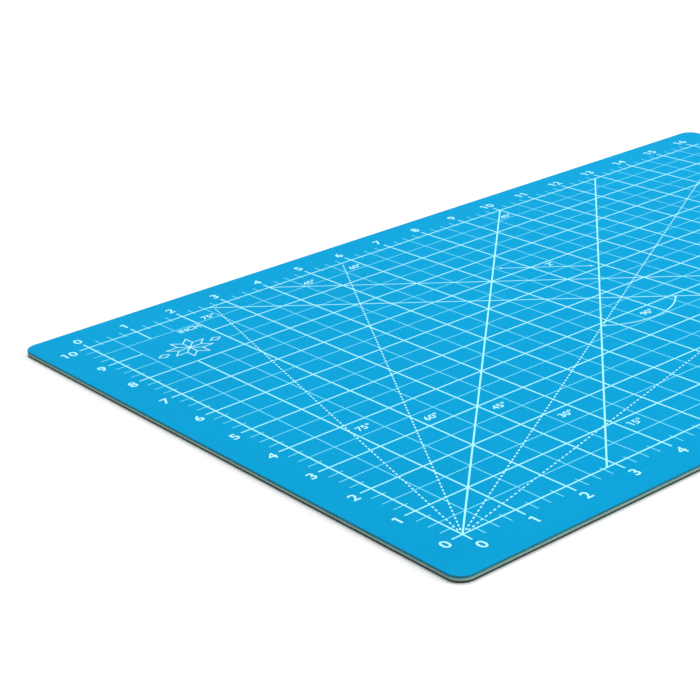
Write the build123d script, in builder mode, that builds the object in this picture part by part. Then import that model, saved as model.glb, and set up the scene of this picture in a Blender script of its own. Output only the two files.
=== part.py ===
from build123d import *
from math import atan2, cos, degrees, hypot, radians, sin, tan
import os

os.makedirs("parts", exist_ok=True)

# A laminated self healing cutting mat, A3 class, lying flat.
# The origin is the middle of the underside, +X runs along the long side,
# +Y runs to the back and +Z points up out of the printed face.

# --- laminated sheets -------------------------------------------------------
MAT_LENGTH = 450.0
MAT_WIDTH = 300.0
CORNER_RADIUS = 6.5
BOTTOM_SHEET_THICKNESS = 0.75
CORE_SHEET_THICKNESS = 1.00
TOP_SHEET_THICKNESS = 0.95
CUT_EDGE_ROUND = 0.20

CORE_Z = BOTTOM_SHEET_THICKNESS
TOP_SHEET_Z = CORE_Z + CORE_SHEET_THICKNESS
FACE_Z = TOP_SHEET_Z + TOP_SHEET_THICKNESS

# --- printed inch grid, centred on the mat -----------------------------------
INCH = 25.4
COLUMNS = 16
ROWS = 10
GRID_LEFT = -COLUMNS * INCH / 2
GRID_FRONT = -ROWS * INCH / 2
INK_FILM = 0.04
INCH_LINE = 0.70
TICK_LINE = 0.34
TICK_FRACTIONS = (0.25, 0.50, 0.75)
LINE_OVERRUN = 0.20 * INCH
TICK_INSIDE = 0.07 * INCH

# --- window left free in the grid for the emblem, in inches -----------------
WINDOW_LEFT = 0.5
WINDOW_RIGHT = 2.0
WINDOW_FRONT = 8.0
WINDOW_BACK = 9.5

# --- angle guides, starting from the grid's zero corner ---------------------
GUIDE_LINE = 0.85
GUIDE_SPACING = 2.0
CROSS_LINE = 0.65
CROSS_START = 4.0
CROSS_SPACING = 1.0
FINE_ANGLES = (75, 60, 30, 15)
FINE_LINE = 0.35
ARC_RADIUS = 1.35 * INCH
ARC_LINE = 0.55
ARC_START = 225
ARC_SWEEP = 90
ARROW_SUM = 15.0
ARROW_CLEAR = 2.0
ARROW_LINE = 0.45
ARROW_HEAD_LENGTH = 2.0
ARROW_HEAD_WIDTH = 1.5

# --- lettering --------------------------------------------------------------
NUMERAL_HEIGHT = 5.3
NUMERAL_STROKE = 0.75
SIDE_NUMERAL_GAP = 0.28
FRONT_NUMERAL_ROW = 0.39
BACK_NUMERAL_ROW = 0.41
LABEL_HEIGHT = 3.8
LABEL_STROKE = 0.45
UNIT_HEIGHT = 4.3
UNIT_STROKE = 0.50
GLYPH_PITCH = 2.90
UNIT_PITCH = 3.50
DEGREE_RADIUS = 0.45
UNIT_LABEL_AT = (1.73, 9.39)
SPACING_LABEL_AT = (8.38, 6.86)
ANGLE_LABELS = (
    ("75°", (1.25, 3.76)),
    ("60°", (2.26, 3.27)),
    ("45°", (3.27, 2.76)),
    ("30°", (3.77, 1.77)),
    ("15°", (4.27, 0.77)),
    ("90°", (7.75, 3.77)),
    ("75°", (2.33, 9.63)),
    ("45°", (4.69, 9.64)),
    ("60°", (5.83, 9.64)),
    ("45°", (9.85, 9.62)),
)

# --- patchwork star emblem --------------------------------------------------
STAR_POINTS = 8
STAR_SIDE = 5.8
STAR_LINE = 0.50
STAR_AT = (1.25, 8.62)
DIAMOND_REACH = 13.8
DIAMOND_LENGTH = 6.0
DIAMOND_WIDTH = 4.4


def at(u, v):
    """Point of the printed face given in inches from the grid's zero corner."""
    return (GRID_LEFT + u * INCH, GRID_FRONT + v * INCH)


def stroke(start, end, width):
    """Straight printed line between two grid points given in inches."""
    x0, y0 = at(*start)
    x1, y1 = at(*end)
    turn = degrees(atan2(y1 - y0, x1 - x0))
    with Locations(((x0 + x1) / 2, (y0 + y1) / 2)):
        Rectangle(hypot(x1 - x0, y1 - y0), width, rotation=turn)


def ray_end(angle):
    """Where a line from the zero corner at this angle leaves the grid."""
    rise = tan(radians(angle))
    if rise > ROWS / COLUMNS:
        return (ROWS / rise, ROWS)
    return (COLUMNS, COLUMNS * rise)


def arrow_head(tip, heading):
    """Solid triangle whose point is at tip (mm) and which points along heading."""
    with Locations(Location((tip[0], tip[1], 0), (0, 0, heading))):
        Polygon(
            (0, 0),
            (-ARROW_HEAD_LENGTH, ARROW_HEAD_WIDTH / 2),
            (-ARROW_HEAD_LENGTH, -ARROW_HEAD_WIDTH / 2),
            align=None,
        )


def rhombus(length, width, mode=Mode.ADD):
    """Rhombus with its long axis along X, around the current location."""
    Polygon(
        (length / 2, 0),
        (0, width / 2),
        (-length / 2, 0),
        (0, -width / 2),
        mode=mode,
        align=None,
    )


def bar(start, end, unit, width):
    """Square-ended straight stroke of a glyph, its ends given in glyph units."""
    run = (end[0] - start[0]) * unit
    rise = (end[1] - start[1]) * unit
    with Locations(((start[0] + end[0]) * unit / 2, (start[1] + end[1]) * unit / 2)):
        Rectangle(hypot(run, rise) + width, width, rotation=degrees(atan2(rise, run)))


def bow(centre, radius, start, sweep, unit, width):
    """Arc stroke of a glyph, its centre and radius given in glyph units."""
    middle = Plane((centre[0] * unit, centre[1] * unit, 0))
    trace(Edge.make_circle(radius * unit, middle, start, start + sweep), line_width=width)


def ring(centre, radius, unit, width):
    """Full circle stroke of a glyph."""
    with Locations((centre[0] * unit, centre[1] * unit)):
        Circle(radius * unit + width / 2)
        Circle(radius * unit - width / 2, mode=Mode.SUBTRACT)


# A glyph is four units tall and about two wide, centred on its own origin.
# Bars are (start, end), bows are (centre, radius, start angle, sweep) and
# rings are (centre, radius).
GLYPHS = {
    "0": ([((-1, -1), (-1, 1)), ((1, -1), (1, 1))], [((0, 1), 1, 0, 180), ((0, -1), 1, 180, 180)], []),
    "1": ([((0.1, -2), (0.1, 2)), ((0.1, 2), (-0.7, 1.3))], [], []),
    "2": ([((0.87, 0.5), (-1, -2)), ((-1, -2), (1, -2))], [((0, 1), 1, -30, 195)], []),
    "3": ([], [((-0.1, 1), 1, -90, 240), ((-0.1, -1), 1, -150, 240)], []),
    "4": ([((0.5, -2), (0.5, 2)), ((0.5, 2), (-1.15, -0.8)), ((-1.15, -0.8), (1.15, -0.8))], [], []),
    "5": ([((-0.8, 2), (0.9, 2)), ((-0.8, 2), (-0.86, -0.04))], [((-0.05, -0.85), 1.15, -145, 280)], []),
    "6": ([((-1, -0.43), (0.14, 2))], [], [((0, -0.9), 1.1)]),
    "7": ([((-1, 2), (1, 2)), ((1, 2), (-0.4, -2))], [], []),
    "8": ([], [], [((0, 0.95), 0.95), ((0, -1), 1.05)]),
    "9": ([((1, 0.43), (-0.14, -2))], [], [((0, 0.9), 1.1)]),
    "°": ([], [], [((-0.5, 1.4), DEGREE_RADIUS)]),
    '"': ([((-0.7, 1.2), (-0.7, 2)), ((0.1, 1.2), (0.1, 2))], [], []),
    "I": ([((0, -2), (0, 2))], [], []),
    "N": ([((-1, -2), (-1, 2)), ((-1, 2), (1, -2)), ((1, -2), (1, 2))], [], []),
    "C": ([((-1.1, -0.9), (-1.1, 0.9))], [((0, 0.9), 1.1, 30, 150), ((0, -0.9), 1.1, 180, 150)], []),
    "H": ([((-1, -2), (-1, 2)), ((1, -2), (1, 2)), ((-1, 0), (1, 0))], [], []),
}


def drawn_glyph(character, unit, width):
    """Sketch of one numeral, letter or sign around the origin."""
    bars, bows, rings = GLYPHS[character]
    with BuildSketch(mode=Mode.PRIVATE) as drawn:
        for shape in rings:
            ring(*shape, unit, width)
        for shape in bows:
            bow(*shape, unit, width)
        for shape in bars:
            bar(*shape, unit, width)
    return drawn.sketch


def lettering_set(height, width, pitch=GLYPH_PITCH):
    """Every glyph at one letter height and stroke width, with the pitch between them."""
    unit = (height - width) / 4
    sketches = {character: drawn_glyph(character, unit, width) for character in GLYPHS}
    return sketches, pitch * unit


def lettering(text, letters, anchor=0.5):
    """A row of glyphs: anchor 0 starts, 0.5 centres and 1 ends it at the location."""
    sketches, pitch = letters
    start = pitch / 2 - anchor * pitch * len(text)
    for k, character in enumerate(text):
        with Locations((start + k * pitch, 0)):
            add(sketches[character])


numeral_letters = lettering_set(NUMERAL_HEIGHT, NUMERAL_STROKE)
label_letters = lettering_set(LABEL_HEIGHT, LABEL_STROKE)
unit_letters = lettering_set(UNIT_HEIGHT, UNIT_STROKE, UNIT_PITCH)

# --- the three bonded sheets ------------------------------------------------
with BuildPart() as bottom_sheet:
    with BuildSketch(Plane.XY):
        RectangleRounded(MAT_LENGTH, MAT_WIDTH, CORNER_RADIUS)
    extrude(amount=BOTTOM_SHEET_THICKNESS)

with BuildPart() as core_sheet:
    with BuildSketch(Plane.XY.offset(CORE_Z)):
        RectangleRounded(MAT_LENGTH, MAT_WIDTH, CORNER_RADIUS)
    extrude(amount=CORE_SHEET_THICKNESS)

with BuildPart() as top_sheet:
    with BuildSketch(Plane.XY.offset(TOP_SHEET_Z)):
        RectangleRounded(MAT_LENGTH, MAT_WIDTH, CORNER_RADIUS)
    extrude(amount=TOP_SHEET_THICKNESS)
    fillet(top_sheet.faces().sort_by(Axis.Z)[-1].edges(), CUT_EDGE_ROUND)

# --- ink films standing on the top sheet ------------------------------------
print_plane = Plane.XY.offset(FACE_Z)
column_length = ROWS * INCH + 2 * LINE_OVERRUN
row_length = COLUMNS * INCH + 2 * LINE_OVERRUN
tick_length = LINE_OVERRUN + TICK_INSIDE
tick_shift = (LINE_OVERRUN - TICK_INSIDE) / 2 / INCH
whole_columns = [at(u, ROWS / 2) for u in range(COLUMNS + 1)]
whole_rows = [at(COLUMNS / 2, v) for v in range(ROWS + 1)]
column_ticks = [
    at(u + part, edge)
    for u in range(COLUMNS)
    for part in TICK_FRACTIONS
    for edge in (-tick_shift, ROWS + tick_shift)
]
row_ticks = [
    at(edge, v + part)
    for v in range(ROWS)
    for part in TICK_FRACTIONS
    for edge in (-tick_shift, COLUMNS + tick_shift)
]
window_depth = (WINDOW_BACK - WINDOW_FRONT) * INCH - INCH_LINE
window_length = (WINDOW_RIGHT - WINDOW_LEFT) * INCH - INCH_LINE
diagonal_step = GUIDE_SPACING / cos(radians(45))
cross_step = CROSS_SPACING / cos(radians(45))
cross_sum = CROSS_START + ROWS
corner = at(
    (cross_sum - cross_step + diagonal_step) / 2,
    (cross_sum - cross_step - diagonal_step) / 2,
)
arrow_inset = ARROW_CLEAR * cos(radians(45)) / INCH
arrow_start = (ARROW_SUM / 2 + arrow_inset, ARROW_SUM / 2 - arrow_inset)
arrow_end = (
    (ARROW_SUM + diagonal_step) / 2 - arrow_inset,
    (ARROW_SUM - diagonal_step) / 2 + arrow_inset,
)

with BuildPart() as inch_grid_print:
    with BuildSketch(print_plane):
        with Locations(*whole_columns):
            Rectangle(INCH_LINE, column_length)
        with Locations(*whole_rows):
            Rectangle(row_length, INCH_LINE)
        # inside the emblem's window one column and one row are left out
        with Locations(at(1, (WINDOW_FRONT + WINDOW_BACK) / 2)):
            Rectangle(INCH_LINE, window_depth, mode=Mode.SUBTRACT)
        with Locations(at((WINDOW_LEFT + WINDOW_RIGHT) / 2, 9)):
            Rectangle(window_length, INCH_LINE, mode=Mode.SUBTRACT)
        with Locations(*column_ticks):
            Rectangle(TICK_LINE, tick_length)
        with Locations(*row_ticks):
            Rectangle(tick_length, TICK_LINE)
        stroke((0, 0), (ROWS, ROWS), GUIDE_LINE)
        stroke((diagonal_step, 0), (diagonal_step + ROWS, ROWS), GUIDE_LINE)
        stroke((CROSS_START, ROWS), (cross_sum, 0), CROSS_LINE)
        stroke((CROSS_START - cross_step, ROWS), (cross_sum - cross_step, 0), CROSS_LINE)
        for angle in FINE_ANGLES:
            stroke((0, 0), ray_end(angle), FINE_LINE)
        # right-angle mark between the second guide and the cross line
        with BuildLine():
            CenterArc(corner, ARC_RADIUS, ARC_START, ARC_SWEEP)
        trace(line_width=ARC_LINE)
        # dimension arrow between the two guides
        stroke(arrow_start, arrow_end, ARROW_LINE)
        arrow_head(at(*arrow_start), 135)
        arrow_head(at(*arrow_end), -45)
    extrude(amount=INK_FILM)

with BuildPart() as left_numerals_print:
    with BuildSketch(print_plane):
        for v in range(ROWS + 1):
            with Locations(at(-SIDE_NUMERAL_GAP, v)):
                lettering(str(v), numeral_letters, anchor=1)
    extrude(amount=INK_FILM)

with BuildPart() as right_numerals_print:
    with BuildSketch(print_plane):
        for v in range(ROWS + 1):
            with Locations(at(COLUMNS + SIDE_NUMERAL_GAP, v)):
                lettering(str(v), numeral_letters, anchor=0)
    extrude(amount=INK_FILM)

with BuildPart() as front_numerals_print:
    with BuildSketch(print_plane):
        for u in range(COLUMNS + 1):
            with Locations(at(u, -FRONT_NUMERAL_ROW)):
                lettering(str(u), numeral_letters)
    extrude(amount=INK_FILM)

with BuildPart() as back_numerals_print:
    with BuildSketch(print_plane):
        for u in range(COLUMNS + 1):
            with Locations(at(u, ROWS + BACK_NUMERAL_ROW)):
                lettering(str(u), numeral_letters)
    extrude(amount=INK_FILM)

with BuildPart() as angle_labels_print:
    with BuildSketch(print_plane):
        for text, place in ANGLE_LABELS:
            with Locations(at(*place)):
                lettering(text, label_letters)
    extrude(amount=INK_FILM)

with BuildPart() as spacing_label_print:
    with BuildSketch(print_plane):
        with Locations(at(*SPACING_LABEL_AT)):
            lettering(f'{GUIDE_SPACING:.0f}"', label_letters)
    extrude(amount=INK_FILM)

with BuildPart() as unit_label_print:
    with BuildSketch(print_plane):
        with Locations(at(*UNIT_LABEL_AT)):
            lettering("INCH", unit_letters)
    extrude(amount=INK_FILM)

# Eight rhombi meeting at the middle: each spoke and outer side is STAR_SIDE long.
half_point = radians(180 / STAR_POINTS)
tip_radius = 2 * STAR_SIDE * cos(half_point)
point_width = 2 * STAR_SIDE * sin(half_point)
facet_scale = 1 - STAR_LINE / (STAR_SIDE * sin(2 * half_point))
star_outline = []
for k in range(STAR_POINTS):
    notch = 2 * k * half_point
    star_outline.append((STAR_SIDE * cos(notch), STAR_SIDE * sin(notch)))
    star_outline.append(
        (tip_radius * cos(notch + half_point), tip_radius * sin(notch + half_point))
    )
diamond_centres = [
    (at(*STAR_AT)[0] + side * DIAMOND_REACH, at(*STAR_AT)[1]) for side in (-1, 1)
]
diamond_scale = 1 - 2 * STAR_LINE * hypot(DIAMOND_LENGTH, DIAMOND_WIDTH) / (
    DIAMOND_LENGTH * DIAMOND_WIDTH
)

with BuildPart() as star_emblem_print:
    with BuildSketch(print_plane):
        with Locations(at(*STAR_AT)):
            Polygon(*star_outline, align=None)
            offset(amount=STAR_LINE / 2, kind=Kind.INTERSECTION)
            with PolarLocations(tip_radius / 2, STAR_POINTS, start_angle=degrees(half_point)):
                rhombus(facet_scale * tip_radius, facet_scale * point_width, Mode.SUBTRACT)
        with Locations(*diamond_centres):
            rhombus(DIAMOND_LENGTH, DIAMOND_WIDTH)
            rhombus(
                diamond_scale * DIAMOND_LENGTH, diamond_scale * DIAMOND_WIDTH, Mode.SUBTRACT
            )
    extrude(amount=INK_FILM)

# --- labels and files -------------------------------------------------------
pieces = {
    "bottom_sheet": bottom_sheet,
    "core_sheet": core_sheet,
    "top_sheet": top_sheet,
    "inch_grid_print": inch_grid_print,
    "left_numerals_print": left_numerals_print,
    "right_numerals_print": right_numerals_print,
    "front_numerals_print": front_numerals_print,
    "back_numerals_print": back_numerals_print,
    "angle_labels_print": angle_labels_print,
    "spacing_label_print": spacing_label_print,
    "unit_label_print": unit_label_print,
    "star_emblem_print": star_emblem_print,
}
for name, piece in pieces.items():
    piece.part.label = name
    export_step(piece.part, f"parts/{name}.step")
    print(name, len(piece.part.solids()), "solids", len(piece.part.faces()), "faces")
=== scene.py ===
"""Look of the self healing cutting mat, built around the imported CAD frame.

Everything is in metres in the frame of the CAD part: +X runs along the long
side, +Y to the back, +Z up out of the printed inch face.
"""

from math import cos, pi, radians, sin, sqrt, tan

import bpy
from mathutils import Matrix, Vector
from mathutils.geometry import delaunay_2d_cdt


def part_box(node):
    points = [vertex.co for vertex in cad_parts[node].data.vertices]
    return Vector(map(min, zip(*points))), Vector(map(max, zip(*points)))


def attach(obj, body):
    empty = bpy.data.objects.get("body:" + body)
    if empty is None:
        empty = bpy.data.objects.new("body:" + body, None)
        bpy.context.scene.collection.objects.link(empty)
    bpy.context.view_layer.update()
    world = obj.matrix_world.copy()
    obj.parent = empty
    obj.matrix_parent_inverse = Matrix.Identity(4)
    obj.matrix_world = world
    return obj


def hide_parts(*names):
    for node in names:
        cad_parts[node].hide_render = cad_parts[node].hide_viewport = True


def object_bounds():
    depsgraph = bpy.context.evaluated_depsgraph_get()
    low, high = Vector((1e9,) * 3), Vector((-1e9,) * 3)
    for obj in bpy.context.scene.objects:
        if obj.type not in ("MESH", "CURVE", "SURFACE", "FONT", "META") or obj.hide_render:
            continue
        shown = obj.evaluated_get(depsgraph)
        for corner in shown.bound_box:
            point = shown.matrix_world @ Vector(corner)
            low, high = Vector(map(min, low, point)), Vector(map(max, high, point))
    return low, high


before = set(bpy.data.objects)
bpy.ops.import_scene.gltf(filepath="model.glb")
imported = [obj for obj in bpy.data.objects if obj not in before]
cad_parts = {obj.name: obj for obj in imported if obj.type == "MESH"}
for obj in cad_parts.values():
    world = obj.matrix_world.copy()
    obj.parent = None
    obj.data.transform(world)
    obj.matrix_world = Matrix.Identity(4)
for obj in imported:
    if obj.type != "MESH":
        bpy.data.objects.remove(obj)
cad_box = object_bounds()

MM = 0.001
INCH = 0.0254

# --- the printed grid, in inches, placed from the CAD print --------------------------
COLUMNS = 16
ROWS = 10
OVERRUN = 0.20  # the lines and ticks run on past the grid
TICK_INSIDE = 0.07  # and the ticks reach into it
print_low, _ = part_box("inch_grid_print")
GRID_LEFT = print_low.x + OVERRUN * INCH
GRID_FRONT = print_low.y + OVERRUN * INCH
FACE_Z = print_low.z

INCH_LINE = 0.70 * MM
HALF_LINE = 0.39 * MM
GUIDE_LINE = 0.72 * MM
CROSS_LINE = 0.64 * MM
DASH_LINE = 0.60 * MM
ARC_LINE = 0.55 * MM
ARROW_LINE = 0.50 * MM
STAR_LINE = 0.50 * MM

# --- heights of the ink films above the top sheet: the higher shows where two cross ---
HALF_INK = 0.030 * MM
INCH_INK = 0.036 * MM
GUIDE_INK = 0.042 * MM
LETTER_INK = 0.048 * MM


def at(u, v):
    """Point of the printed face given in inches from the grid's zero corner."""
    return Vector((GRID_LEFT + u * INCH, GRID_FRONT + v * INCH))


def heading(angle):
    """Unit vector at an angle in radians from +X."""
    return Vector((cos(angle), sin(angle)))


# ---------------------------------------------------------------------------------
# Flat outlines, each a list of points (metres)
# ---------------------------------------------------------------------------------
def stroke(start, end, width):
    """Rectangle that runs from start to end."""
    along = (end - start).normalized()
    side = Vector((-along.y, along.x)) * width / 2
    return [start + side, start - side, end - side, end + side]


def dashes(start, end, width, pitch, length, clear):
    """Rectangles of a dashed line whose first one lies clear of start."""
    span = (end - start).length
    along = (end - start) / span
    outlines = []
    for k in range(int((span - clear) / pitch)):
        first = clear + k * pitch
        outlines.append(stroke(start + along * first, start + along * (first + length), width))
    return outlines


def arc(centre, radius, first, last, width, steps=40):
    """Band along a circle between two angles in degrees."""
    angles = [radians(first + (last - first) * k / steps) for k in range(steps + 1)]
    outer = [centre + heading(a) * (radius + width / 2) for a in angles]
    inner = [centre + heading(a) * (radius - width / 2) for a in angles]
    return outer + inner[::-1]


def head(tip, angle, length, width):
    """Arrow head whose point is at tip and which points along angle (degrees)."""
    along = heading(radians(angle))
    side = Vector((-along.y, along.x)) * width / 2
    back = tip - along * length
    return [tip, back + side, back - side]


def disc(centre, radius, steps=20):
    """Round spot, used as the rounded end or corner of a stroke."""
    return [centre + heading(2 * pi * k / steps) * radius for k in range(steps)]


# ---------------------------------------------------------------------------------
# Objects and meshes
# ---------------------------------------------------------------------------------
def add_object(name, data):
    """New object in the scene that shows data."""
    made = bpy.data.objects.new(name, data)
    bpy.context.scene.collection.objects.link(made)
    return made


def add_piece(mesh, material, node):
    """Mesh as a piece of the root body that stands for a CAD node."""
    piece = add_object(mesh.name, mesh)
    mesh.materials.append(material)
    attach(piece, "root")
    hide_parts(node)


def new_mesh(name, vertices, faces):
    """Checked mesh from lists of vertices and faces."""
    mesh = bpy.data.meshes.new(name)
    mesh.from_pydata(vertices, [], faces)
    mesh.validate()
    return mesh


MERGE = 1e-5  # points of outlines closer than this, in millimetres, become one


def film_mesh(name, outlines, base, top):
    """One clean film over the union of overlapping outlines, from base up to top."""
    points, faces = [], []
    for outline in outlines:
        faces.append(list(range(len(points), len(points) + len(outline))))
        points.extend(point / MM for point in outline)
    flat, _, triangles, _, _, sources = delaunay_2d_cdt(points, [], faces, 0, MERGE)
    covered = [t for t, source in zip(triangles, sources) if source]
    used = sorted({v for t in covered for v in t})
    renumber = {v: k for k, v in enumerate(used)}
    roof = [[renumber[v] for v in t] for t in covered]
    plane = [(flat[v].x * MM, flat[v].y * MM) for v in used]
    count = len(plane)
    vertices = [(x, y, top) for x, y in plane] + [(x, y, base) for x, y in plane]
    edges = {(t[k], t[(k + 1) % len(t)]) for t in roof for k in range(len(t))}
    walls = [(b, a, a + count, b + count) for a, b in sorted(edges) if (b, a) not in edges]
    under = [[v + count for v in t[::-1]] for t in roof]
    return new_mesh(name, vertices, roof + walls + under)


def rounded_outline(half_x, half_y, radius, steps):
    """Corner-rounded rectangle around the origin, anticlockwise."""
    points = []
    for quarter, (sx, sy) in enumerate(((1, 1), (-1, 1), (-1, -1), (1, -1))):
        centre = Vector((sx * (half_x - radius), sy * (half_y - radius)))
        for k in range(steps + 1):
            points.append(centre + heading(pi / 2 * (quarter + k / steps)) * radius)
    return points


# ---------------------------------------------------------------------------------
# Materials
# ---------------------------------------------------------------------------------
class Shader:
    """Small helper that adds and joins nodes of one material."""

    def __init__(self, name):
        self.material = bpy.data.materials.new(name)
        self.material.use_nodes = True
        self.tree = self.material.node_tree
        self.surface = self.tree.nodes["Principled BSDF"]
        self.place = self.tree.nodes.new("ShaderNodeTexCoord").outputs["Object"]

    def node(self, kind, inputs, **settings):
        """A node with settings, whose inputs are values or sockets."""
        made = self.tree.nodes.new(kind)
        for key, value in settings.items():
            setattr(made, key, value)
        for key, value in inputs.items():
            if isinstance(value, bpy.types.NodeSocket):
                self.tree.links.new(value, made.inputs[key])
            else:
                made.inputs[key].default_value = value
        return made

    def noise(self, scale, detail=3.0, roughness=0.5, place=None):
        """Noise in the object's own metres."""
        inputs = {
            "Vector": place or self.place,
            "Scale": scale,
            "Detail": detail,
            "Roughness": roughness,
        }
        return self.node("ShaderNodeTexNoise", inputs).outputs["Fac"]

    def stretched(self, scale):
        """Object coordinates scaled per axis."""
        inputs = {"Vector": self.place, "Scale": scale}
        return self.node("ShaderNodeMapping", inputs).outputs[0]

    def ramp(self, value, low, high, start=0.0, end=1.0):
        """Value taken from low..high to start..end."""
        inputs = {
            "Value": value,
            "From Min": low,
            "From Max": high,
            "To Min": start,
            "To Max": end,
        }
        return self.node("ShaderNodeMapRange", inputs).outputs["Result"]

    def blend(self, amount, first, second):
        """Colour between first and second."""
        inputs = {0: amount, 6: first, 7: second}
        return self.node("ShaderNodeMix", inputs, data_type="RGBA").outputs[2]

    def calculated(self, operation, *values):
        """Result of an operation on one or two values."""
        inputs = dict(enumerate(values))
        return self.node("ShaderNodeMath", inputs, operation=operation).outputs[0]

    def add(self, first, second):
        """Sum of two values."""
        return self.calculated("ADD", first, second)

    def times(self, first, second):
        """Product of two values."""
        return self.calculated("MULTIPLY", first, second)

    def finish(self, colour, roughness, height, relief, specular):
        """Joins colour, roughness and bump height to the surface."""
        self.tree.links.new(colour, self.surface.inputs["Base Color"])
        self.tree.links.new(roughness, self.surface.inputs["Roughness"])
        inputs = {"Height": height, "Strength": 1.0, "Distance": relief}
        bump = self.node("ShaderNodeBump", inputs)
        self.tree.links.new(bump.outputs["Normal"], self.surface.inputs["Normal"])
        self.surface.inputs["Specular IOR Level"].default_value = specular
        return self.material


# noise scales: features per metre, so 2600 gives a pebble of about 0.4 mm
PEBBLE = 2600.0
GRIT = 9000.0
CLOUD = 14.0
MOTTLE = 420.0
SKIN_SCORES = (2200.0, 2200.0, 300.0)
CORE_SCORES = (2600.0, 2600.0, 220.0)
CORE_CLOUD = 60.0
CORE_FLECK = 3200.0
INK_PATCH = 260.0
INK_PINHOLE = 7000.0
FLOOR_TONE = 3.0

# depth of the bump relief
SKIN_RELIEF = 0.03 * MM
CORE_RELIEF = 0.04 * MM
INK_RELIEF = 0.008 * MM
FLOOR_RELIEF = 0.01 * MM

# upward part of a normal: a face below the first is cut edge, above the second skin
EDGE_UPRIGHT = 0.35
FACE_UPRIGHT = 0.80

INK_SPECULAR = 0.05


def rgb(red, green, blue):
    """Opaque colour, in linear light."""
    return (red, green, blue, 1.0)


def skin_material(name, deep, pale, edge_tone_and_shade_dark, edge_tone_and_shade_light, specular):
    """Calendered plastic skin: pebbled, faintly mottled, with its own colour on the cut edge; on
    the blue skin that edge colour is painted shade, a little darker.
    """
    shader = Shader(name)
    pebble = shader.noise(PEBBLE, detail=2.0, roughness=0.55)
    grit = shader.noise(GRIT, detail=1.0)
    cloud = shader.noise(CLOUD, detail=4.0, roughness=0.55)
    mottle = shader.noise(MOTTLE)
    amount = shader.add(
        shader.times(shader.ramp(cloud, 0.30, 0.70), 0.55),
        shader.times(shader.ramp(mottle, 0.25, 0.75), 0.45),
    )
    colour = shader.blend(amount, deep, pale)
    colour = shader.blend(shader.ramp(pebble, 0.30, 0.75, 0.0, 0.10), colour, pale)
    normal = shader.node("ShaderNodeNewGeometry", {}).outputs["True Normal"]
    upright = shader.node("ShaderNodeSeparateXYZ", {"Vector": normal}).outputs["Z"]
    flatness = shader.calculated("ABSOLUTE", upright)
    on_edge = shader.ramp(flatness, EDGE_UPRIGHT, FACE_UPRIGHT, 1.0, 0.0)
    scored = shader.noise(1.0, place=shader.stretched(SKIN_SCORES))
    # edge colour on faces picked by their normal: painted shade on the blue skin's side, the dark
    # skin's own edge tone
    cut = shader.blend(shader.ramp(scored, 0.3, 0.7), edge_tone_and_shade_dark, edge_tone_and_shade_light)
    colour = shader.blend(on_edge, colour, cut)
    roughness = shader.ramp(shader.add(pebble, cloud), 0.6, 1.4, 0.50, 0.66)
    height = shader.add(shader.times(pebble, 0.75), shader.times(grit, 0.25))
    return shader.finish(colour, roughness, height, SKIN_RELIEF, specular)


def core_material(name, deep, pale, specular):
    """Cut edge of the soft core: fine upright score marks with darker flecks."""
    shader = Shader(name)
    scored = shader.noise(1.0, detail=4.0, place=shader.stretched(CORE_SCORES))
    cloud = shader.noise(CORE_CLOUD)
    fleck = shader.noise(CORE_FLECK, detail=1.0)
    amount = shader.add(shader.times(scored, 0.6), shader.times(cloud, 0.4))
    colour = shader.blend(shader.ramp(amount, 0.35, 0.65), deep, pale)
    colour = shader.blend(shader.ramp(fleck, 0.62, 0.78, 0.0, 0.5), colour, deep)
    roughness = shader.ramp(scored, 0.3, 0.7, 0.72, 0.88)
    return shader.finish(colour, roughness, scored, CORE_RELIEF, specular)


def ink_material(name, solid, thin):
    """Screen-printed ink: dense, with slightly thin patches and pinholes."""
    shader = Shader(name)
    patch = shader.noise(INK_PATCH, detail=4.0, roughness=0.6)
    pinhole = shader.noise(INK_PINHOLE, detail=1.0)
    amount = shader.add(
        shader.times(shader.ramp(patch, 0.35, 0.70), 0.5),
        shader.times(shader.ramp(pinhole, 0.55, 0.75), 0.5),
    )
    colour = shader.blend(shader.times(amount, 0.6), solid, thin)
    roughness = shader.ramp(patch, 0.3, 0.7, 0.42, 0.60)
    return shader.finish(colour, roughness, pinhole, INK_RELIEF, INK_SPECULAR)


def floor_material(name, colour, shaded):
    """Pale studio sweep."""
    shader = Shader(name)
    tone = shader.noise(FLOOR_TONE, detail=2.0)
    shade = shader.blend(shader.ramp(tone, 0.3, 0.7, 0.0, 0.02), colour, shaded)
    roughness = shader.ramp(tone, 0.3, 0.7, 0.80, 0.90)
    return shader.finish(shade, roughness, tone, FLOOR_RELIEF, 0.0)


BLUE_SKIN = skin_material(
    "blue_skin",
    deep=rgb(0.001, 0.275, 0.532),
    pale=rgb(0.003, 0.306, 0.573),
    # painted shade: the top sheet's cut edge is coloured darker teal because its side lies in
    # shade
    edge_tone_and_shade_dark=rgb(0.010, 0.130, 0.180),
    edge_tone_and_shade_light=rgb(0.032, 0.200, 0.260),
    specular=0.008,
)
CORE = core_material(
    "sage_core", deep=rgb(0.170, 0.285, 0.255), pale=rgb(0.290, 0.425, 0.380), specular=0.08
)
DARK_SKIN = skin_material(
    "dark_skin",
    deep=rgb(0.014, 0.036, 0.030),
    pale=rgb(0.024, 0.052, 0.044),
    edge_tone_and_shade_dark=rgb(0.014, 0.036, 0.030),
    edge_tone_and_shade_light=rgb(0.034, 0.066, 0.056),
    specular=0.12,
)
# the hairlines carry the least ink, so the blue shows through them most
HAIR_INK = ink_material("hairline_ink", rgb(0.21, 0.74, 0.89), rgb(0.12, 0.61, 0.82))
LINE_INK = ink_material("line_ink", rgb(0.38, 0.83, 0.93), rgb(0.22, 0.72, 0.88))
MARK_INK = ink_material("mark_ink", rgb(0.48, 0.86, 0.94), rgb(0.30, 0.76, 0.89))
HEAVY_INK = ink_material("heavy_ink", rgb(0.37, 0.84, 0.94), rgb(0.26, 0.77, 0.91))
LETTER_WHITE = ink_material("letter_ink", rgb(0.46, 0.86, 0.95), rgb(0.34, 0.78, 0.91))


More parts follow.
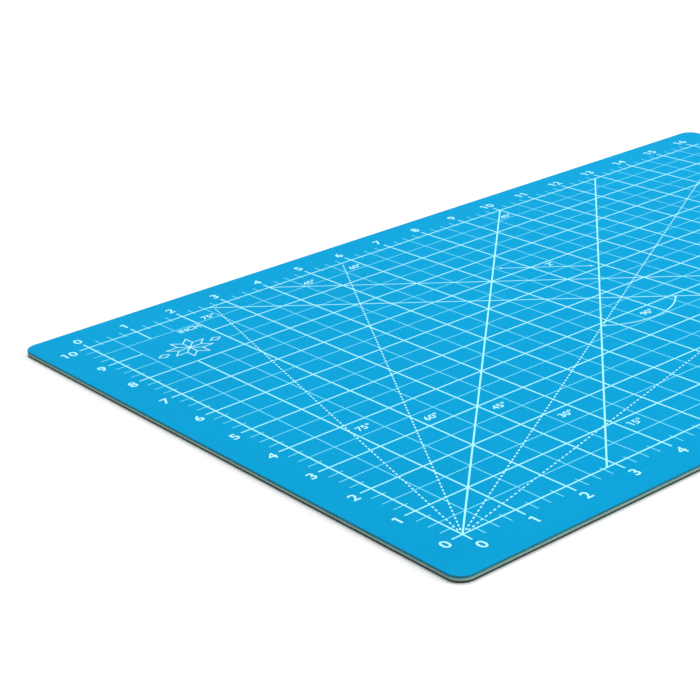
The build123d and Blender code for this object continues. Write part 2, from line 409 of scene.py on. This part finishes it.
# ---------------------------------------------------------------------------------
# The laminated sheets
# ---------------------------------------------------------------------------------
CORNER_RADIUS = 6.5 * MM
CORNER_STEPS = 28
ARRIS_STEPS = 5
SHARP_ANGLE = 40
SKIN_ROUND = 0.20 * MM
FOOT_ROUND = 0.10 * MM
ARRIS = 0.02 * MM
CORE_SET_BACK = 0.03 * MM


def edge_profile(low_z, high_z, round_low, round_high, inset):
    """(inset, z) pairs going up a cut edge whose lower and upper arrises are rounded."""
    turns = [pi / 2 * k / ARRIS_STEPS for k in range(ARRIS_STEPS + 1)]
    lower = [
        (inset + round_low * (1 - sin(turn)), low_z + round_low * (1 - cos(turn)))
        for turn in turns
    ]
    upper = [
        (inset + round_high * (1 - cos(turn)), high_z - round_high * (1 - sin(turn)))
        for turn in turns
    ]
    return lower + upper


def slab_mesh(name, low, high, profile):
    """Sheet between low and high whose edge follows profile."""
    half_x, half_y = (high.x - low.x) / 2, (high.y - low.y) / 2
    middle = (low + high) / 2
    vertices, faces = [], []
    for inset, z in profile:
        ring = rounded_outline(
            half_x - inset, half_y - inset, CORNER_RADIUS - inset, CORNER_STEPS
        )
        vertices.extend((middle.x + p.x, middle.y + p.y, z) for p in ring)
    count = len(vertices) // len(profile)
    for level in range(len(profile) - 1):
        for k in range(count):
            a, b = level * count + k, level * count + (k + 1) % count
            faces.append((a, b, b + count, a + count))
    faces.append(tuple(range(count))[::-1])
    faces.append(tuple(range(len(vertices) - count, len(vertices))))
    mesh = new_mesh(name, vertices, faces)
    for polygon in mesh.polygons:
        polygon.use_smooth = True
    mesh.set_sharp_from_angle(angle=radians(SHARP_ANGLE))
    return mesh


def sheet(node, round_low, round_high, inset, material):
    """One sheet of the laminate, in the box of its CAD node."""
    low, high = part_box(node)
    profile = edge_profile(low.z, high.z, round_low, round_high, inset)
    add_piece(slab_mesh(node + "_look", low, high, profile), material, node)


sheet("bottom_sheet", FOOT_ROUND, ARRIS, 0.0, DARK_SKIN)
sheet("core_sheet", ARRIS, ARRIS, CORE_SET_BACK, CORE)
sheet("top_sheet", ARRIS, SKIN_ROUND, 0.0, BLUE_SKIN)


# ---------------------------------------------------------------------------------
# The inch print
# ---------------------------------------------------------------------------------
WINDOW_ACROSS = (0.5, 2.0)  # free window of the emblem, in inches from the left
WINDOW_BACK = (8.0, 9.5)  # and from the front
GUIDE_STEP = 2.0 * sqrt(2)  # along a row, between guides that are 2 inches apart
CROSS_STEP = 1.0 * sqrt(2)  # along a row, between cross lines that are 1 inch apart
CROSS_START = 4.0
RAYS = (75, 60, 30, 15)
DASH_PITCH = INCH / 9
DASH_LENGTH = 1.45 * MM
DASH_CLEAR = 3.4 * MM
ARC_RADIUS = 1.35 * INCH
ARC_HEADS = ((225, 138), (315, 42))  # each end of the arc and where its head points
ARROW_SUM = 15.0  # u + v all along the dimension arrow
ARROW_ANGLE = -45
ARROW_CLEAR = 2.0 * MM
HEAD_LENGTH = 2.2 * MM
HEAD_WIDTH = 1.7 * MM


def ray_end(angle):
    """Where a ray from the zero corner leaves the grid, in inches."""
    rise = tan(radians(angle))
    if rise > ROWS / COLUMNS:
        return (ROWS / rise, ROWS)
    return (COLUMNS, COLUMNS * rise)


def spans(place, crossed, gap, length):
    """Stretches of a grid line, left open at gap where the line meets the window."""
    if crossed[0] < place < crossed[1]:
        return ((-OVERRUN, gap[0]), (gap[1], length + OVERRUN))
    return ((-OVERRUN, length + OVERRUN),)


def net_outlines(offset, width):
    """Columns and rows an inch apart that start offset inches from the zero corner."""
    extra = 1 if offset == 0 else 0
    outlines = []
    for step in range(COLUMNS + extra):
        u = step + offset
        for first, last in spans(u, WINDOW_ACROSS, WINDOW_BACK, ROWS):
            outlines.append(stroke(at(u, first), at(u, last), width))
    for step in range(ROWS + extra):
        v = step + offset
        for first, last in spans(v, WINDOW_BACK, WINDOW_ACROSS, COLUMNS):
            outlines.append(stroke(at(first, v), at(last, v), width))
    return outlines


def tick_outlines():
    """Quarter-inch ticks around the edge of the grid."""
    outlines = []
    for step in range(1, 4 * COLUMNS, 2):
        u = step / 4
        outlines.append(stroke(at(u, -OVERRUN), at(u, TICK_INSIDE), HALF_LINE))
        outlines.append(stroke(at(u, ROWS - TICK_INSIDE), at(u, ROWS + OVERRUN), HALF_LINE))
    for step in range(1, 4 * ROWS, 2):
        v = step / 4
        outlines.append(stroke(at(-OVERRUN, v), at(TICK_INSIDE, v), HALF_LINE))
        outlines.append(stroke(at(COLUMNS - TICK_INSIDE, v), at(COLUMNS + OVERRUN, v), HALF_LINE))
    return outlines


def guide_outlines():
    """The two heavy 45 degree guides."""
    return [stroke(at(u, 0), at(u + ROWS, ROWS), GUIDE_LINE) for u in (0, GUIDE_STEP)]


def cross_outlines():
    """The two lines at right angles to the guides."""
    return [
        stroke(at(u, ROWS), at(u + ROWS, 0), CROSS_LINE)
        for u in (CROSS_START, CROSS_START - CROSS_STEP)
    ]


def ray_outlines():
    """Dashed rays from the zero corner."""
    outlines = []
    for angle in RAYS:
        end = at(*ray_end(angle))
        outlines.extend(dashes(at(0, 0), end, DASH_LINE, DASH_PITCH, DASH_LENGTH, DASH_CLEAR))
    return outlines


def arc_outlines():
    """Right-angle arc, with a head at each end, where the front cross line meets a guide."""
    total = CROSS_START + ROWS - CROSS_STEP
    corner = at((total + GUIDE_STEP) / 2, (total - GUIDE_STEP) / 2)
    (first, _), (last, _) = ARC_HEADS
    outlines = [arc(corner, ARC_RADIUS, first, last, ARC_LINE)]
    for end, angle in ARC_HEADS:
        tip = corner + heading(radians(end)) * ARC_RADIUS
        outlines.append(head(tip, angle, HEAD_LENGTH, HEAD_WIDTH))
    return outlines


def arrow_outlines():
    """Dimension arrow between the two guides."""
    across = Vector((1, -1)).normalized()
    first = at(ARROW_SUM / 2, ARROW_SUM / 2) + across * ARROW_CLEAR
    last = at((ARROW_SUM + GUIDE_STEP) / 2, (ARROW_SUM - GUIDE_STEP) / 2) - across * ARROW_CLEAR
    inside = across * HEAD_LENGTH / 2
    return [
        stroke(first + inside, last - inside, ARROW_LINE),
        head(first, ARROW_ANGLE + 180, HEAD_LENGTH, HEAD_WIDTH),
        head(last, ARROW_ANGLE, HEAD_LENGTH, HEAD_WIDTH),
    ]


def printed(name, outlines, height, material, node):
    """Film of printed lines that stands for a CAD print."""
    mesh = film_mesh(name, outlines, FACE_Z, FACE_Z + height)
    add_piece(mesh, material, node)


half_lines = net_outlines(0.5, HALF_LINE) + tick_outlines()
inch_lines = net_outlines(0, INCH_LINE) + cross_outlines()
angle_marks = ray_outlines() + arc_outlines() + arrow_outlines()
printed("half_inch_lines_ink", half_lines, HALF_INK, HAIR_INK, "inch_grid_print")
printed("inch_lines_ink", inch_lines, INCH_INK, LINE_INK, "inch_grid_print")
printed("angle_marks_ink", angle_marks, GUIDE_INK, MARK_INK, "inch_grid_print")
printed("heavy_guides_ink", guide_outlines(), LETTER_INK, HEAVY_INK, "inch_grid_print")

# --- patchwork star between two diamonds, in the window ------------------------------
STAR_SIDE = 5.8 * MM
STAR_AT = (1.25, 8.62)  # inches
STAR_POINTS = 8
DIAMOND_REACH = 13.8 * MM
DIAMOND_LENGTH = 6.0 * MM
DIAMOND_WIDTH = 4.4 * MM


def star_outlines(centre, side, width):
    """Rhombi meeting at the centre, drawn as strokes."""
    outlines = []
    reach = 2 * side * cos(pi / STAR_POINTS)
    turn = 2 * pi / STAR_POINTS
    for k in range(STAR_POINTS):
        left = centre + heading(turn * k) * side
        right = centre + heading(turn * (k + 1)) * side
        tip = centre + heading(turn * (k + 0.5)) * reach
        outlines.append(stroke(centre, left, width))
        outlines.append(stroke(left, tip, width))
        outlines.append(stroke(tip, right, width))
        outlines.append(disc(left, width / 2))
        outlines.append(disc(tip, width / 2))
    return outlines


def diamond_outlines(centre, length, width, line):
    """Outline of a rhombus, drawn as strokes just inside its given size."""
    half_length, half_width = (length - line) / 2, (width - line) / 2
    corners = ((half_length, 0), (0, half_width), (-half_length, 0), (0, -half_width))
    ring = [centre + Vector(corner) for corner in corners]
    outlines = [stroke(ring[k - 1], ring[k], line) for k in range(4)]
    return outlines + [disc(corner, line / 2) for corner in ring]


def emblem_outlines():
    """The star with a diamond on each side."""
    centre = at(*STAR_AT)
    outlines = star_outlines(centre, STAR_SIDE, STAR_LINE)
    for side in (-1, 1):
        beside = centre + Vector((side * DIAMOND_REACH, 0))
        outlines += diamond_outlines(beside, DIAMOND_LENGTH, DIAMOND_WIDTH, STAR_LINE)
    return outlines


printed("star_emblem_ink", emblem_outlines(), GUIDE_INK, LETTER_WHITE, "star_emblem_print")

# --- numerals and labels, in the built-in font ---------------------------------------
CAPITAL_SHARE = 0.729  # height of a capital, in parts of the font's size
CURVE_STEPS = 6
NUMERAL_HEIGHT = 5.3 * MM
NUMERAL_WEIGHT = 0.07 * MM
NUMERAL_STRETCH = 1.06
LABEL_HEIGHT = 3.85 * MM
LABEL_WEIGHT = 0.06 * MM
UNIT_HEIGHT = 4.2 * MM
UNIT_STRETCH = 0.83

# the font's one is a plain bar: its width in parts of the font's size, and the slanted
# flag that tops it in widths of the bar
ONE_BAR = 0.098
FLAG_REACH = 1.3
FLAG_DROP = 0.75
FLAG_DEPTH = 0.75
FLAG_TAPER = 0.8
FLAG_FACES = ((3, 2, 1, 0), (4, 5, 6, 7), (0, 1, 5, 4), (1, 2, 6, 5), (2, 3, 7, 6), (3, 0, 4, 7))

# where the rows of numerals stand, in inches
SIDE_GAP = 0.28
SIDE_DROP = 0.037
FRONT_ROW = -0.39
BACK_ROW = ROWS + 0.41


def flags(text, points, bar):
    """Outlines of the flags of a word whose first one, or two, digits are ones."""
    low = min(x for x, _, _ in points)
    high = max(x for x, _, _ in points)
    crown = max(y for _, y, _ in points)
    lefts = [low] if text[0] == "1" else []
    if text == "11":
        lefts.append(high - bar)
    return [
        [
            (left, crown),
            (left - FLAG_REACH * bar, crown - FLAG_DROP * bar),
            (left - FLAG_TAPER * FLAG_REACH * bar, crown - (FLAG_DROP + FLAG_DEPTH) * bar),
            (left, crown - bar),
        ]
        for left in lefts
    ]


def word_shape(name, text, height, align, weight, base, top):
    """Vertices and faces of a word that stands on the line y = 0."""
    curve = bpy.data.curves.new(name, "FONT")
    curve.body = text
    curve.size = height / CAPITAL_SHARE
    curve.align_x = align
    curve.offset = weight
    curve.extrude = (top - base) / 2
    curve.resolution_u = CURVE_STEPS
    holder = add_object(name, curve)
    bpy.context.view_layer.update()
    drawn = bpy.data.meshes.new_from_object(holder)
    vertices = [(v.co.x, v.co.y, (base + top) / 2 + v.co.z) for v in drawn.vertices]
    faces = [list(face.vertices) for face in drawn.polygons]
    bar = ONE_BAR * curve.size + 2 * weight
    for outline in flags(text, vertices, bar):
        first = len(vertices)
        vertices += [(x, y, z) for z in (base, top) for x, y in outline]
        faces += [[first + k for k in face] for face in FLAG_FACES]
    bpy.data.objects.remove(holder)
    bpy.data.meshes.remove(drawn)
    bpy.data.curves.remove(curve)
    return vertices, faces


def lettering_mesh(name, words, base, top, stretch):
    """All the words of one print as one mesh, each (text, place, height, align, weight)."""
    vertices, faces = [], []
    for text, place, height, align, weight in words:
        points, shapes = word_shape(name, text, height, align, weight, base, top)
        first = len(vertices)
        vertices += [(place.x + stretch * x, place.y + y - height / 2, z) for x, y, z in points]
        faces += [[first + k for k in shape] for shape in shapes]
    return new_mesh(name, vertices, faces)


def lettered(name, words, node, stretch):
    """Film of printed words that stands for a CAD print."""
    mesh = lettering_mesh(name, words, FACE_Z, FACE_Z + LETTER_INK, stretch)
    add_piece(mesh, LETTER_WHITE, node)


def numerals(name, places, align, node):
    """A row of numerals from 0 up, one at each place."""
    words = [(str(k), p, NUMERAL_HEIGHT, align, NUMERAL_WEIGHT) for k, p in enumerate(places)]
    lettered(name, words, node, NUMERAL_STRETCH)


def labels(name, entries, height, node, stretch=1.0):
    """Centred labels, each (text, u, v)."""
    words = [(text, at(u, v), height, "CENTER", LABEL_WEIGHT) for text, u, v in entries]
    lettered(name, words, node, stretch)


left_places = [at(-SIDE_GAP, v - SIDE_DROP) for v in range(ROWS + 1)]
right_places = [at(COLUMNS + SIDE_GAP, v - SIDE_DROP) for v in range(ROWS + 1)]
front_places = [at(u, FRONT_ROW) for u in range(COLUMNS + 1)]
back_places = [at(u, BACK_ROW) for u in range(COLUMNS + 1)]
numerals("left_numerals_ink", left_places, "RIGHT", "left_numerals_print")
numerals("right_numerals_ink", right_places, "LEFT", "right_numerals_print")
numerals("front_numerals_ink", front_places, "CENTER", "front_numerals_print")
numerals("back_numerals_ink", back_places, "CENTER", "back_numerals_print")

ANGLE_LABELS = (
    ("75°", 1.26, 3.735),
    ("60°", 2.245, 3.25),
    ("45°", 3.255, 2.765),
    ("30°", 3.755, 1.775),
    ("15°", 4.26, 0.785),
    ("90°", 7.75, 3.77),
    ("75°", 2.33, 9.63),
    ("45°", 4.68, 9.63),
    ("60°", 5.815, 9.645),
    ("45°", 9.82, 9.63),
)
SPACING_LABEL = ('2"', 8.38, 6.86)
UNIT_LABEL = ("INCH", 1.735, 9.38)
labels("angle_labels_ink", ANGLE_LABELS, LABEL_HEIGHT, "angle_labels_print")
labels("spacing_label_ink", [SPACING_LABEL], LABEL_HEIGHT, "spacing_label_print")
labels("unit_label_ink", [UNIT_LABEL], UNIT_HEIGHT, "unit_label_print", UNIT_STRETCH)


# ---------------------------------------------------------------------------------
# Floor, light and camera
# ---------------------------------------------------------------------------------
FLOOR_HALF = 6.0
FLOOR_DROP = 0.05 * MM
FLOOR_WHITE = rgb(0.88, 0.88, 0.88)
FLOOR_GREY = rgb(0.80, 0.80, 0.80)

SKY_STRENGTH = 0.56
KEY_PLACE = (0.45, 0.75, 2.25)
KEY_SIZE = 1.6
KEY_POWER = 40.0
SIDE_PLACE = (1.4, -1.5, 1.3)
SIDE_SIZE = 0.7
SIDE_POWER = 24.5


def floor():
    """Wide floor just below the mat."""
    height = cad_box[0][2] - FLOOR_DROP
    corners = ((-1, -1), (1, -1), (1, 1), (-1, 1))
    vertices = [(x * FLOOR_HALF, y * FLOOR_HALF, height) for x, y in corners]
    mesh = new_mesh("floor", vertices, [(0, 1, 2, 3)])
    mesh.materials.append(floor_material("studio_floor", FLOOR_WHITE, FLOOR_GREY))
    add_object("floor", mesh)


def area_light(name, place, size, power):
    """Round light at place that points at the middle of the mat."""
    light = bpy.data.lights.new(name, "AREA")
    light.shape = "DISK"
    light.size = size
    light.energy = power
    lamp = add_object(name, light)
    lamp.location = place
    lamp.rotation_euler = (-Vector(place)).to_track_quat("-Z", "Y").to_euler()


def sky(strength):
    """Even white light from all around."""
    world = bpy.data.worlds.new("studio")
    world.use_nodes = True
    background = world.node_tree.nodes["Background"]
    background.inputs["Color"].default_value = rgb(1.0, 1.0, 1.0)
    background.inputs["Strength"].default_value = strength
    bpy.context.scene.world = world


floor()
sky(SKY_STRENGTH)
area_light("key", KEY_PLACE, KEY_SIZE, KEY_POWER)
area_light("side", SIDE_PLACE, SIDE_SIZE, SIDE_POWER)

# the photo's camera: metres from the grid's zero corner, degrees, and millimetres
CAMERA_FROM_ZERO = Vector((-0.35891, -0.42238, 0.30014))
CAMERA_TURN = (67.588, 4.071, -38.494)
LENS = 92.21
SENSOR = 36.0
NEAR_CLIP = 0.01
FAR_CLIP = 50.0

camera_data = bpy.data.cameras.new("camera")
camera_data.sensor_width = SENSOR
camera_data.lens = LENS
camera_data.clip_start = NEAR_CLIP
camera_data.clip_end = FAR_CLIP
camera = add_object("camera", camera_data)
camera.location = Vector((GRID_LEFT, GRID_FRONT, FACE_Z)) + CAMERA_FROM_ZERO
camera.rotation_euler = [radians(angle) for angle in CAMERA_TURN]
bpy.context.scene.camera = camera
bpy.context.scene.view_settings.view_transform = "Standard"
